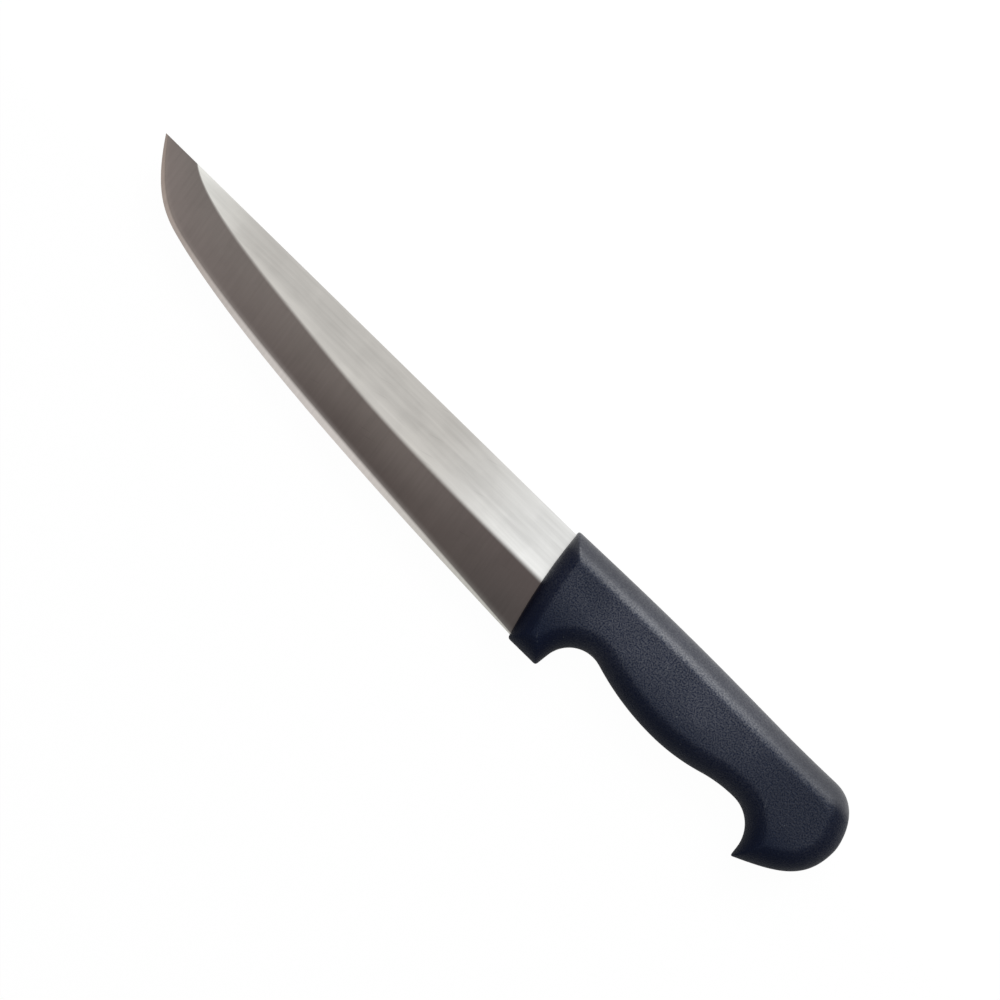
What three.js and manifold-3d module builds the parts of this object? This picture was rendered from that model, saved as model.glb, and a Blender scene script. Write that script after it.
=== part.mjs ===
// Butcher's knife lying on its side: a ground steel blade with a plastic handle moulded round its tang.
// Sizes are in millimetres and +Z is up. The knife is drawn in the XY plane: +X runs from the tip to the
// butt, +Y from the cutting edge to the spine, and zero is where the blade's spine meets the handle's front.
// The finished knife is set down with its origin under its middle, on the surface that it lies on.
import * as THREE from 'three';
import { mergeVertices, toCreasedNormals } from 'three/addons/utils/BufferGeometryUtils.js';
import Module from 'manifold-3d';

const wasm = await Module();
wasm.setup();

// Blade: its outline, with angles in degrees below the spine's line
const BLADE_LENGTH = 190; // tip to handle, along the spine
const STOCK = 2.5; // thickness of the steel sheet
const TIP_ANGLE = 58; // the cutting edge's fall at the tip
const TIP_PULL = 15.5; // how far that direction is held
const BELLY_FROM_TIP = 25; // where the edge turns from the tip into the long belly
const BELLY_DEPTH = 21.4; // spine to edge there
const BELLY_ANGLE = 16; // the edge's fall there
const BELLY_PULL_FORWARD = 10; // how far that direction is held towards the tip
const BELLY_PULL_BACK = 40; // and towards the heel
const HEEL_DEPTH = 38.6; // spine to edge at the handle
const HEEL_ANGLE = 2; // the edge's fall there
const HEEL_PULL = 60; // how far that direction is held

// Blade: the main grind on both sides, and the narrow sharpening bevel along the edge
const RUNOUT_FROM_TIP = 13.8; // where the grind line runs out through the spine
const RUNOUT_ANGLE = 27; // the grind line's fall there
const RUNOUT_PULL = 31; // how far that direction is held
const FLAT_DEPTH = 19.2; // height of the unground flat at the handle
const FLAT_PULL = 80; // how far the grind line runs level before the handle
const GROUND_EDGE = 0.8; // steel left at the edge by the main grind
const BEVEL_TIP = 1.5; // width of the sharpening bevel at the tip
const BEVEL_MIDDLE = 2.85; // in the middle of the edge
const BEVEL_HEEL = 0.2; // and where it fades out at the handle
const EDGE_LAND = 0.12; // thickness of the finished edge

// Tang: the part of the blade inside the handle
const HEEL_INSET = 5; // depth that the full blade goes into the handle
const TANG_STEP = 4; // top of the tang, below the spine
const TANG_COVER = 7; // plastic between the tang and the grip's underside
const TANG_LENGTH = 102; // from the handle's front
const TANG_END_TAPER = 1.5; // how much the tang narrows, above and below, at its end
const TANG_CORNER = 2.5; // radius of its corners
const TANG_HOLES = 3; // filled by posts of the handle, which lock the tang
const TANG_HOLE_DIAMETER = 6;
const FIRST_HOLE = 26; // from the handle's front
const LAST_HOLE = 12; // from the tang's end

// Handle: its outline, with depths below the blade's spine
const HANDLE_LENGTH = 134;
const HANDLE_THICKNESS = 20;
const SPINE_RISE = 1.3; // the handle's top stands proud of the blade's spine
const SPINE_CROWN = 0.6; // swell of the top line
const FRONT_LEAN = 7.8; // the front runs back this much from top to bottom
const FRONT_BOW = 1.2; // swell of the front line towards the blade
const HEEL_COVER = 1.6; // plastic under the blade's heel, down to the sole of the guard and of the butt
const GUARD_LENGTH = 12.2; // along its sole
const NECK_DEPTH = 25.1; // underside of the grip where the scoops are deepest
const BELLY_SWELL = 5; // swell of the underside for the palm
const FRONT_SCOOP_RADIUS = 12; // behind the guard
const REAR_SCOOP_RADIUS = 12.6; // ahead of the hook
const HOOK_LENGTH = 23.8; // the hook's inner wall to the end of the handle
const HOOK_LEAN = 0.5; // the hook's tip lies this much behind its inner wall
const BUTT_DEPTH = 15.8; // where the butt reaches farthest back
const BUTT_ROUND = 16; // length of its rounding into the top line
const BUTT_SWEEP = 31; // length of its rounding into the sole

// Handle: the rounding of its rim, which meets the flat side panel at a soft crease
const PANEL_INSET = 7.2; // width of the rounding, seen from the side
const PARTING_BAND = 1.5; // straight band at the mould's parting line
const CREASE_ANGLE = 16; // the rounding's slope where it meets the panel

const MOULD_CLEARANCE = 0.3; // between the steel and the plastic

// Fineness of the facets, and how far cuts run past what they cut
const FACET = 2.4;
const EDGE_STEPS = 60;
const RIM_STEPS = 8;
const HOLE_STEPS = 24;
const OVERCUT = 2;
const SHADING_CREASE = 25;

const soleDepth = HEEL_DEPTH + HEEL_COVER;
const hookWall = HANDLE_LENGTH - HOOK_LENGTH;

const radians = THREE.MathUtils.degToRad;
const point = (x, y) => new THREE.Vector2(x, y);

// How far the handle's front has run back at a depth below the spine
const leanAt = (depth) => (FRONT_LEAN * depth) / soleDepth;

// A smooth curve between two points that leaves and arrives at given falls
function fairCurve(start, startFall, startPull, end, endFall, endPull) {
  const along = (fall, pull) => point(pull * Math.cos(radians(fall)), -pull * Math.sin(radians(fall)));
  const startHandle = start.clone().add(along(startFall, startPull));
  const endHandle = end.clone().sub(along(endFall, endPull));
  return new THREE.CubicBezierCurve(start, startHandle, endHandle, end);
}

function arc(centre, radius, startAngle, endAngle, clockwise) {
  return new THREE.EllipseCurve(centre.x, centre.y, radius, radius, startAngle, endAngle, clockwise);
}

// Points along joined curves, with a straight line left as one step
function trace(curves) {
  const points = [curves[0].getPoint(0)];
  for (const curve of curves) {
    const steps = curve.isLineCurve ? 1 : Math.max(2, Math.ceil(curve.getLength() / FACET));
    points.push(...curve.getSpacedPoints(steps).slice(1));
  }
  return points;
}

// At each point of a path, the way to its left, lengthened at a turn so that an offset keeps its width
function mitres(points, closed) {
  const last = points.length - 1;
  const lefts = points.map((from, index) => {
    const to = points[index === last ? 0 : index + 1];
    const step = to.clone().sub(from).normalize();
    return point(-step.y, step.x);
  });
  if (!closed) {
    lefts[last] = lefts[last - 1];
  }
  return points.map((_, index) => {
    const after = lefts[index];
    const previous = index === 0 ? last : index - 1;
    const before = index === 0 && !closed ? after : lefts[previous];
    return before.clone().add(after).divideScalar(1 + before.dot(after));
  });
}

// A closed outline, drawn anticlockwise, grown outwards by a distance
function grow(outline, distance) {
  const lefts = mitres(outline, true);
  return outline.map((corner, index) => corner.clone().addScaledVector(lefts[index], -distance));
}

// A closed body through a row of rings that all have as many corners
function loft(rings, capFaces) {
  const corners = rings[0].length;
  const end = (rings.length - 1) * corners;
  const positions = rings.flat().flatMap((corner) => corner.toArray());
  const faces = [];
  for (let ring = 0; ring < end; ring += corners) {
    for (let side = 0; side < corners; side += 1) {
      const next = (side + 1) % corners;
      faces.push(ring + side, ring + next, ring + corners + next);
      faces.push(ring + side, ring + corners + next, ring + corners + side);
    }
  }
  for (const [a, b, c] of capFaces) {
    faces.push(c, b, a);
    faces.push(end + a, end + b, end + c);
  }
  const geometry = new THREE.BufferGeometry();
  geometry.setAttribute('position', new THREE.Float32BufferAttribute(positions, 3));
  geometry.setIndex(faces);
  return geometry;
}

// Turns a geometry into a solid that can be joined and cut
function solid(geometry) {
  geometry.deleteAttribute('normal');
  geometry.deleteAttribute('uv');
  const merged = mergeVertices(geometry);
  const vertProperties = new Float32Array(merged.attributes.position.array);
  const triVerts = new Uint32Array(merged.index.array);
  return new wasm.Manifold(new wasm.Mesh({ numProp: 3, vertProperties, triVerts }));
}

function meshOf(body, name, material) {
  const { vertProperties, triVerts } = body.getMesh();
  const geometry = new THREE.BufferGeometry();
  geometry.setAttribute('position', new THREE.BufferAttribute(vertProperties, 3));
  geometry.setIndex(new THREE.BufferAttribute(triVerts, 1));
  const mesh = new THREE.Mesh(toCreasedNormals(geometry, radians(SHADING_CREASE)), material);
  mesh.name = name;
  return mesh;
}

// A sheet of even thickness about the middle plane
function sheet(outline, thickness, holes = []) {
  const shape = new THREE.Shape(outline);
  shape.holes = holes.map((hole) => new THREE.Path(hole));
  const geometry = new THREE.ExtrudeGeometry(shape, { depth: thickness, bevelEnabled: false });
  geometry.translate(0, 0, -thickness / 2);
  return solid(geometry);
}

// The cutting edge and the grind line, as rows of matching points from the tip to the blade's end
const tip = point(-BLADE_LENGTH, 0);
const belly = point(BELLY_FROM_TIP - BLADE_LENGTH, -BELLY_DEPTH);
const heel = point(FRONT_LEAN, -HEEL_DEPTH);
const heelEnd = point(FRONT_LEAN + HEEL_INSET, -HEEL_DEPTH);
const cuttingEdge = new THREE.CurvePath();
cuttingEdge.add(fairCurve(tip, TIP_ANGLE, TIP_PULL, belly, BELLY_ANGLE, BELLY_PULL_FORWARD));
cuttingEdge.add(fairCurve(belly, BELLY_ANGLE, BELLY_PULL_BACK, heel, HEEL_ANGLE, HEEL_PULL));
const edgePoints = cuttingEdge.getSpacedPoints(EDGE_STEPS);
const runout = point(RUNOUT_FROM_TIP - BLADE_LENGTH, 0);
const flatEnd = point(FRONT_LEAN, -FLAT_DEPTH);
const grindLine = fairCurve(runout, RUNOUT_ANGLE, RUNOUT_PULL, flatEnd, 0, FLAT_PULL);
const grindPoints = grindLine.getSpacedPoints(EDGE_STEPS);

// What a grind takes off one side: everything above straight lines from the edge to the line above it
function grindCut(strokes, side) {
  const first = strokes[0];
  const last = strokes[strokes.length - 1];
  const moved = (stroke, x, y) => ({
    ...stroke,
    edge: stroke.edge.clone().add(point(x, y)),
    upper: stroke.upper.clone().add(point(x, y)),
  });
  const row = [moved(first, 0, OVERCUT), ...strokes, moved(last, HEEL_INSET + OVERCUT, 0)];
  const ceiling = STOCK / 2 + OVERCUT;
  const rings = row.map(({ edge, upper, edgeHeight, upperHeight }) => {
    const width = edge.distanceTo(upper);
    const slope = (upperHeight - edgeHeight) / width;
    const at = (reach, height) => {
      const place = edge.clone().lerp(upper, reach / width);
      return new THREE.Vector3(place.x, place.y, side * height);
    };
    const onFace = (reach) => at(reach, edgeHeight + slope * reach);
    const over = Math.min(OVERCUT, (ceiling - upperHeight) / slope);
    const ring = [onFace(-OVERCUT), onFace(width + over), at(width + over, ceiling), at(-OVERCUT, ceiling)];
    return side > 0 ? ring : ring.reverse();
  });
  return solid(loft(rings, [[0, 1, 2], [0, 2, 3]]));
}

// The sharpening bevel's width along the edge, from 0 at the tip to 1 at the handle
function bevelWidth(share) {
  const tipPart = 2 * (share - 0.5) * (share - 1) * BEVEL_TIP;
  const middlePart = 4 * share * (1 - share) * BEVEL_MIDDLE;
  const heelPart = 2 * share * (share - 0.5) * BEVEL_HEEL;
  return tipPart + middlePart + heelPart;
}

// The blank that is stamped from the sheet: blade and tang in one piece
const tangFoot = NECK_DEPTH - TANG_COVER;

function roundedCorner(shape, corner, next, radius) {
  const before = shape.currentPoint.clone().sub(corner).setLength(radius).add(corner);
  const after = next.clone().sub(corner).setLength(radius).add(corner);
  shape.lineTo(before.x, before.y);
  shape.quadraticCurveTo(corner.x, corner.y, after.x, after.y);
}

function blankOutline() {
  const topInner = point(HEEL_INSET + leanAt(TANG_STEP), -TANG_STEP);
  const topOuter = point(TANG_LENGTH, -TANG_STEP - TANG_END_TAPER);
  const bottomOuter = point(TANG_LENGTH, TANG_END_TAPER - tangFoot);
  const bottomInner = point(HEEL_INSET + leanAt(tangFoot), -tangFoot);
  const tang = new THREE.Path();
  tang.moveTo(heelEnd.x, heelEnd.y);
  roundedCorner(tang, bottomInner, bottomOuter, TANG_CORNER);
  roundedCorner(tang, bottomOuter, topOuter, TANG_CORNER);
  roundedCorner(tang, topOuter, topInner, TANG_CORNER);
  roundedCorner(tang, topInner, point(HEEL_INSET, 0), TANG_CORNER);
  tang.lineTo(HEEL_INSET, 0);
  return [...edgePoints, ...tang.getPoints(RIM_STEPS)];
}

function tangHoles(radius) {
  const depth = (TANG_STEP + tangFoot) / 2;
  const pitch = (TANG_LENGTH - LAST_HOLE - FIRST_HOLE) / (TANG_HOLES - 1);
  return Array.from({ length: TANG_HOLES }, (_, index) => {
    const centre = point(FIRST_HOLE + index * pitch, -depth);
    return arc(centre, radius, 0, 2 * Math.PI, false).getPoints(HOLE_STEPS).slice(0, -1);
  });
}

// The blade, or the same shape with some room round it for the handle's cavity
function bladeBody(room) {
  const holes = tangHoles(TANG_HOLE_DIAMETER / 2 - room);
  let body = sheet(grow(blankOutline(), room), STOCK + 2 * room, holes);
  const mainStrokes = edgePoints.map((edge, index) => ({
    edge,
    upper: grindPoints[index],
    edgeHeight: GROUND_EDGE / 2 + room,
    upperHeight: STOCK / 2 + room,
  }));
  const bevelStrokes = mainStrokes.map(({ edge, upper, edgeHeight, upperHeight }, index) => {
    const share = bevelWidth(index / EDGE_STEPS) / edge.distanceTo(upper);
    return {
      edge,
      upper: edge.clone().lerp(upper, share),
      edgeHeight: EDGE_LAND / 2 + room,
      upperHeight: THREE.MathUtils.lerp(edgeHeight, upperHeight, share),
    };
  });
  for (const side of [1, -1]) {
    body = body.subtract(grindCut(mainStrokes, side));
    body = body.subtract(grindCut(bevelStrokes, side));
  }
  return body;
}

// The handle's outline, anticlockwise, in four stretches between its sharp corners
const frontTop = point(0, SPINE_RISE);
const guardToe = point(FRONT_LEAN, -soleDepth);
const guardHeel = point(FRONT_LEAN + GUARD_LENGTH, -soleDepth);
const buttTop = point(HANDLE_LENGTH - BUTT_ROUND, SPINE_RISE);

function bowed(start, end, swell) {
  const chord = end.clone().sub(start);
  const outwards = point(chord.y, -chord.x).setLength(2 * swell);
  const middle = start.clone().lerp(end, 0.5).add(outwards);
  return new THREE.QuadraticBezierCurve(start, middle, end);
}

// The butt's underside, from the hook's tip to the point that reaches farthest back
function buttSole() {
  const middle = HANDLE_LENGTH - BUTT_SWEEP;
  const tipAngle = -Math.acos((hookWall + HOOK_LEAN - middle) / BUTT_SWEEP);
  const drop = soleDepth - BUTT_DEPTH;
  return new THREE.EllipseCurve(middle, -BUTT_DEPTH, BUTT_SWEEP, drop, tipAngle, 0, false);
}

function buttBack() {
  const rise = SPINE_RISE + BUTT_DEPTH;
  return new THREE.EllipseCurve(buttTop.x, -BUTT_DEPTH, BUTT_ROUND, rise, 0, Math.PI / 2, false);
}

// The finger grip: a scoop behind the guard, the belly for the palm and a scoop ahead of the hook.
// The three arcs run smoothly into each other, so the belly's radius follows from the other sizes.
function gripCurves(hookTip) {
  const frontRadius = Math.min(FRONT_SCOOP_RADIUS, soleDepth - NECK_DEPTH);
  const rearRadius = Math.min(REAR_SCOOP_RADIUS, -hookTip.y - NECK_DEPTH);
  const front = point(guardHeel.x + frontRadius, -NECK_DEPTH - frontRadius);
  const rear = point(hookWall - rearRadius, -NECK_DEPTH - rearRadius);
  const span = rear.x - front.x;
  const crest = (front.x + rear.x) / 2 + (BELLY_SWELL * (frontRadius - rearRadius)) / span;
  const reach = (crest - front.x) ** 2;
  const bellyRadius = (reach + BELLY_SWELL ** 2) / (2 * BELLY_SWELL) - frontRadius;
  const bellyCentre = point(crest, bellyRadius - NECK_DEPTH - BELLY_SWELL);
  const frontTouch = bellyCentre.clone().sub(front).angle();
  const rearTouch = bellyCentre.clone().sub(rear).angle();
  const toTip = hookTip.clone().sub(rear);
  const wallTouch = Math.atan2(toTip.y, toTip.x) + Math.acos(rearRadius / toTip.length());
  const wallFoot = rear.clone().add(point(Math.cos(wallTouch), Math.sin(wallTouch)).setLength(rearRadius));
  return [
    new THREE.LineCurve(guardHeel, point(guardHeel.x, front.y)),
    arc(front, frontRadius, Math.PI, frontTouch, true),
    arc(bellyCentre, bellyRadius, frontTouch + Math.PI, rearTouch + Math.PI, false),
    arc(rear, rearRadius, rearTouch, wallTouch, true),
    new THREE.LineCurve(wallFoot, hookTip),
  ];
}

const hookTip = buttSole().getPoint(0);
const handleStretches = [
  trace([bowed(frontTop, guardToe, FRONT_BOW)]),
  trace([new THREE.LineCurve(guardToe, guardHeel)]),
  trace(gripCurves(hookTip)),
  trace([buttSole(), buttBack(), bowed(buttTop, frontTop, SPINE_CROWN)]),
];

// The profile that the rim's rounding cuts away, from the parting band to the panel:
// inwards from the outline, and up from the middle plane
function rimProfile() {
  const band = PARTING_BAND / 2;
  const top = HANDLE_THICKNESS / 2;
  const turn = Math.PI / 2 - radians(CREASE_ANGLE);
  const width = PANEL_INSET / (1 - Math.cos(turn));
  const height = (top - band) / Math.sin(turn);
  const rounding = new THREE.EllipseCurve(width, band, width, height, Math.PI, Math.PI - turn, true);
  const runOut = point(PANEL_INSET + OVERCUT, top + OVERCUT * Math.tan(radians(CREASE_ANGLE)));
  const ceiling = top + 2 * OVERCUT;
  return [
    point(-OVERCUT, band),
    ...rounding.getPoints(RIM_STEPS),
    runOut,
    point(runOut.x, ceiling),
    point(-OVERCUT, ceiling),
  ];
}

// One stretch's rounding, run past both of its corners so that neighbouring stretches meet in a hip
function rimCut(stretch, side) {
  const last = stretch.length - 1;
  const beyond = (end, inner) => end.clone().sub(inner).setLength(OVERCUT).add(end);
  const path = [beyond(stretch[0], stretch[1]), ...stretch, beyond(stretch[last], stretch[last - 1])];
  const lefts = mitres(path, false);
  const profile = rimProfile().map((corner) => point(corner.x, side * corner.y));
  if (side < 0) {
    profile.reverse();
  }
  const rings = path.map((place, index) => profile.map((corner) => {
    const foot = place.clone().addScaledVector(lefts[index], corner.x);
    return new THREE.Vector3(foot.x, foot.y, corner.y);
  }));
  return solid(loft(rings, THREE.ShapeUtils.triangulateShape(profile, [])));
}

function handleBody() {
  const outline = handleStretches.flatMap((stretch) => stretch.slice(0, -1));
  let body = sheet(outline, HANDLE_THICKNESS);
  for (const stretch of handleStretches) {
    for (const side of [1, -1]) {
      body = body.subtract(rimCut(stretch, side));
    }
  }
  return body.subtract(bladeBody(MOULD_CLEARANCE));
}

const satinSteel = new THREE.MeshStandardMaterial({ color: 0xc6c4bf, roughness: 0.35, metalness: 1 });
const blackPlastic = new THREE.MeshStandardMaterial({ color: 0x2a2e34, roughness: 0.6, metalness: 0 });

const knife = new THREE.Group();
knife.name = 'butcher_knife';
knife.add(meshOf(bladeBody(0), 'blade', satinSteel));
knife.add(meshOf(handleBody(), 'handle', blackPlastic));

// Set the knife down: its middle over the origin and its lower side on the surface
const extent = new THREE.Box3().setFromObject(knife);
const middle = extent.getCenter(new THREE.Vector3());
knife.position.set(-middle.x, -middle.y, -extent.min.z);

export default knife;
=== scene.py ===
"""A butcher's knife lying on a white table: a ground steel blade in a moulded black handle.

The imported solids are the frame: they say where the knife lies and how large it is. The blade and the
handle are modelled again over them with finer lines, softer creases and procedural finishes.
Lengths are in metres and angles in degrees. Both pieces are drawn about the point where the blade's
spine meets the handle's front, with +X from the tip to the butt, +Y from the cutting edge to the
spine, and the middle plane of the steel at zero height. They are then moved to their place.
"""
import logging
import math
from collections.abc import Callable, Iterator, Sequence
from contextlib import contextmanager
from dataclasses import dataclass
from enum import Enum

import bmesh
import bpy
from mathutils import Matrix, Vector
from mathutils.geometry import interpolate_bezier


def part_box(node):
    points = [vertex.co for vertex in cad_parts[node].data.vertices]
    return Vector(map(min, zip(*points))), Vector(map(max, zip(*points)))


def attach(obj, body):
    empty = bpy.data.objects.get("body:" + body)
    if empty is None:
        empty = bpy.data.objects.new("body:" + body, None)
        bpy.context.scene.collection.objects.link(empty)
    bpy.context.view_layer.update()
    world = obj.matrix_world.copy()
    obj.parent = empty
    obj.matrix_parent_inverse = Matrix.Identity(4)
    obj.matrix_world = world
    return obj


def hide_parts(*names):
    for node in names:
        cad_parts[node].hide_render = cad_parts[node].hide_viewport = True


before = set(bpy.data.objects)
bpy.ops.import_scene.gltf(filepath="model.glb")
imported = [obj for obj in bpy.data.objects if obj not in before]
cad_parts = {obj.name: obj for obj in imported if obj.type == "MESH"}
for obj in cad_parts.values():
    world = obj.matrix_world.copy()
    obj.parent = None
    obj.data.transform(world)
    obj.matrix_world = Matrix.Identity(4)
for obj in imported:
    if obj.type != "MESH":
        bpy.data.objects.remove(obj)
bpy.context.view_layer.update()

MM = 0.001
CURVE_POINTS = 96
WELD = 0.002 * MM
NOISE_MEAN = 0.5
WHITE = (1.0, 1.0, 1.0)

log = logging.getLogger("knife")

Colour = tuple[float, float, float]
Piece = bpy.types.Object
Socket = bpy.types.NodeSocket
Point = tuple[float, float]
Feed = float | Colour | Socket
Size = tuple[Feed, Feed, Feed]


class Zone(Enum):
    """The lines of the ground blade, numbered upwards from the cutting edge."""

    EDGE = 0.0
    SHOULDER = 1.0
    GRIND = 2.0
    SPINE = 3.0


class Element(Enum):
    """What a selection in edit mode is made of."""

    VERTS = "VERT"
    EDGES = "EDGE"


class Step(Enum):
    """How a value goes from one number to another."""

    EVEN = "LINEAR"
    SOFT = "SMOOTHSTEP"


class Cut(Enum):
    """How one body acts on another."""

    AWAY = "DIFFERENCE"
    JOIN = "UNION"


def screen(red: int, green: int, blue: int) -> Colour:
    """The linear colour of a screen colour.

    Args:
        red: Screen level from 0 to 255.
        green: The same for green.
        blue: The same for blue.

    Returns:
        The colour as a shader takes it.
    """
    def linear(level: int) -> float:
        """One channel, made linear."""
        share = level / 255
        return share / 12.92 if share <= 0.04045 else ((share + 0.055) / 1.055) ** 2.4

    return linear(red), linear(green), linear(blue)


def polar(angle: float, reach: float) -> Vector:
    """A step in the drawing plane at an angle in degrees."""
    return Vector((reach * math.cos(math.radians(angle)), reach * math.sin(math.radians(angle))))


def evenly(points: Sequence[Vector], steps: int) -> list[Vector]:
    """Spaces points evenly along a line.

    Args:
        points: The line's points, drawn closely.
        steps: How many equal steps to make of it.

    Returns:
        The new points, one more than the steps.
    """
    reach = [0.0]
    for start, end in zip(points, points[1:]):
        reach.append(reach[-1] + (end - start).length)
    placed = []
    leg = 0
    for step in range(steps + 1):
        target = reach[-1] * step / steps
        while leg < len(points) - 2 and reach[leg + 1] < target:
            leg += 1
        span = reach[leg + 1] - reach[leg]
        placed.append(points[leg].lerp(points[leg + 1], (target - reach[leg]) / span))
    return placed


def fair_curve(start: Vector, start_fall: float, start_pull: float,
               end: Vector, end_fall: float, end_pull: float) -> list[Vector]:
    """A smooth line between two points that leaves and arrives at given falls.

    Args:
        start: Where it starts.
        start_fall: Its angle below the spine's line there.
        start_pull: How far that direction is held.
        end: Where it ends.
        end_fall: Its angle below the spine's line there.
        end_pull: How far that direction is held.

    Returns:
        Points drawn closely along it.
    """
    first = start + polar(-start_fall, start_pull)
    second = end - polar(-end_fall, end_pull)
    return interpolate_bezier(start, first, second, end, CURVE_POINTS)


def bowed(start: Vector, end: Vector, swell: float) -> list[Vector]:
    """A shallow bow between two points, swelling to the right of the way from start to end.

    Args:
        start: Where it starts.
        end: Where it ends.
        swell: How far its middle stands off the straight line.

    Returns:
        Points drawn closely along it.
    """
    chord = end - start
    middle = (start + end) / 2 + Vector((chord.y, -chord.x)).normalized() * 2 * swell
    first = start.lerp(middle, 2 / 3)
    second = end.lerp(middle, 2 / 3)
    return interpolate_bezier(start, first, second, end, CURVE_POINTS)


def arc(centre: Vector, radius: float, start: float, end: float) -> list[Vector]:
    """Points along an arc of a circle, between two angles in degrees."""
    turn = (end - start) / (CURVE_POINTS - 1)
    return [centre + polar(start + turn * step, radius) for step in range(CURVE_POINTS)]


def alone(piece: Piece) -> None:
    """Makes a piece the only selected object, and the active one.

    Args:
        piece: The piece.
    """
    bpy.ops.object.select_all(action="DESELECT")
    piece.select_set(True)
    bpy.context.view_layer.objects.active = piece


@contextmanager
def editing(piece: Piece, element: Element = Element.VERTS) -> Iterator[None]:
    """Opens a piece in edit mode with nothing selected, and closes it afterwards.

    Args:
        piece: The piece to edit.
        element: What the operators select.

    Yields:
        Nothing, while the piece is open.
    """
    alone(piece)
    bpy.ops.object.mode_set(mode="EDIT")
    bpy.ops.mesh.select_mode(type=element.value)
    bpy.ops.mesh.select_all(action="DESELECT")
    yield
    bpy.ops.object.mode_set(mode="OBJECT")


def pick_verts(piece: Piece, test: Callable[[Vector], bool]) -> None:
    """Selects the vertices of a piece in edit mode by their place.

    Args:
        piece: The piece that is open in edit mode.
        test: Says whether a vertex at a place is wanted.
    """
    mesh = bmesh.from_edit_mesh(piece.data)
    for vert in mesh.verts:
        vert.select_set(test(vert.co))
    mesh.select_flush_mode()
    bmesh.update_edit_mesh(piece.data)


def pick_edges(piece: Piece, test: Callable[[Vector, Vector], bool]) -> None:
    """Selects the edges of a piece in edit mode by the places of their ends.

    Args:
        piece: The piece that is open in edit mode.
        test: Says whether an edge between two places is wanted.
    """
    mesh = bmesh.from_edit_mesh(piece.data)
    for edge in mesh.edges:
        edge.select_set(test(edge.verts[0].co, edge.verts[1].co))
    bmesh.update_edit_mesh(piece.data)


def finish_with(piece: Piece, kind: str, **settings: object) -> None:
    """Gives a piece a modifier and applies it.

    Args:
        piece: The piece to finish.
        kind: The modifier's type.
        settings: The modifier's values by name.
    """
    alone(piece)
    bpy.ops.object.modifier_add(type=kind)
    modifier = piece.modifiers[-1]
    for name, value in settings.items():
        setattr(modifier, name, value)
    bpy.ops.object.modifier_apply(modifier=modifier.name)


def combine(piece: Piece, tool: Piece, cut: Cut) -> None:
    """Cuts a tool away from a piece or joins it on, and deletes the tool."""
    finish_with(piece, "BOOLEAN", object=tool, operation=cut.value, solver="EXACT")
    bpy.data.objects.remove(tool)


def draw_line(points: Sequence[Vector], closed: bool = False) -> Piece:
    """Draws a line through points and turns it into a mesh of joined edges.

    Args:
        points: The places along the line.
        closed: Whether the last point is joined to the first.

    Returns:
        The new object.
    """
    bpy.ops.object.select_all(action="DESELECT")
    bpy.ops.curve.primitive_bezier_curve_add()
    line = bpy.context.object
    line.data.splines.clear()
    spline = line.data.splines.new("POLY")
    spline.points.add(len(points) - 1)
    for knot, place in zip(spline.points, points):
        knot.co = (*place, 1.0)
    spline.use_cyclic_u = closed
    bpy.ops.object.convert(target="MESH")
    return bpy.context.object


def loft(name: str, lines: Sequence[Sequence[Vector]], zones: Sequence[Zone] = ()) -> Piece:
    """Skins a ring of lines that have as many points each, and caps both ends.

    Args:
        name: The new object's name.
        lines: The lines in order round the body.
        zones: The zone of each line, kept on its points for the finish.

    Returns:
        The closed body.
    """
    drawn = []
    for number, points in enumerate(lines):
        line = draw_line(points)
        numbers = line.data.attributes.new("line", "INT", "POINT")
        numbers.data.foreach_set("value", [number] * len(points))
        if zones:
            heights = line.data.attributes.new("zone", "FLOAT", "POINT")
            heights.data.foreach_set("value", [zones[number].value] * len(points))
        drawn.append(line)
    body = drawn[0]
    alone(body)
    for line in drawn:
        line.select_set(True)
    bpy.ops.object.join()
    body.name = name
    with editing(body, Element.EDGES):
        for number in range(len(lines)):
            pair = {number, (number + 1) % len(lines)}
            mesh = bmesh.from_edit_mesh(body.data)
            layer = mesh.verts.layers.int["line"]
            for edge in mesh.edges:
                ends = [vert[layer] for vert in edge.verts]
                edge.select_set(ends[0] == ends[1] and ends[0] in pair)
            bmesh.update_edit_mesh(body.data)
            bpy.ops.mesh.bridge_edge_loops()
        bpy.ops.mesh.select_all(action="SELECT")
        bpy.ops.mesh.fill_holes(sides=0)
        bpy.ops.mesh.select_all(action="SELECT")
        bpy.ops.mesh.remove_doubles(threshold=WELD)
        bpy.ops.mesh.dissolve_degenerate(threshold=WELD)
        bpy.ops.mesh.normals_make_consistent(inside=False)
    body.data.attributes.remove(body.data.attributes["line"])
    return body


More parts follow.
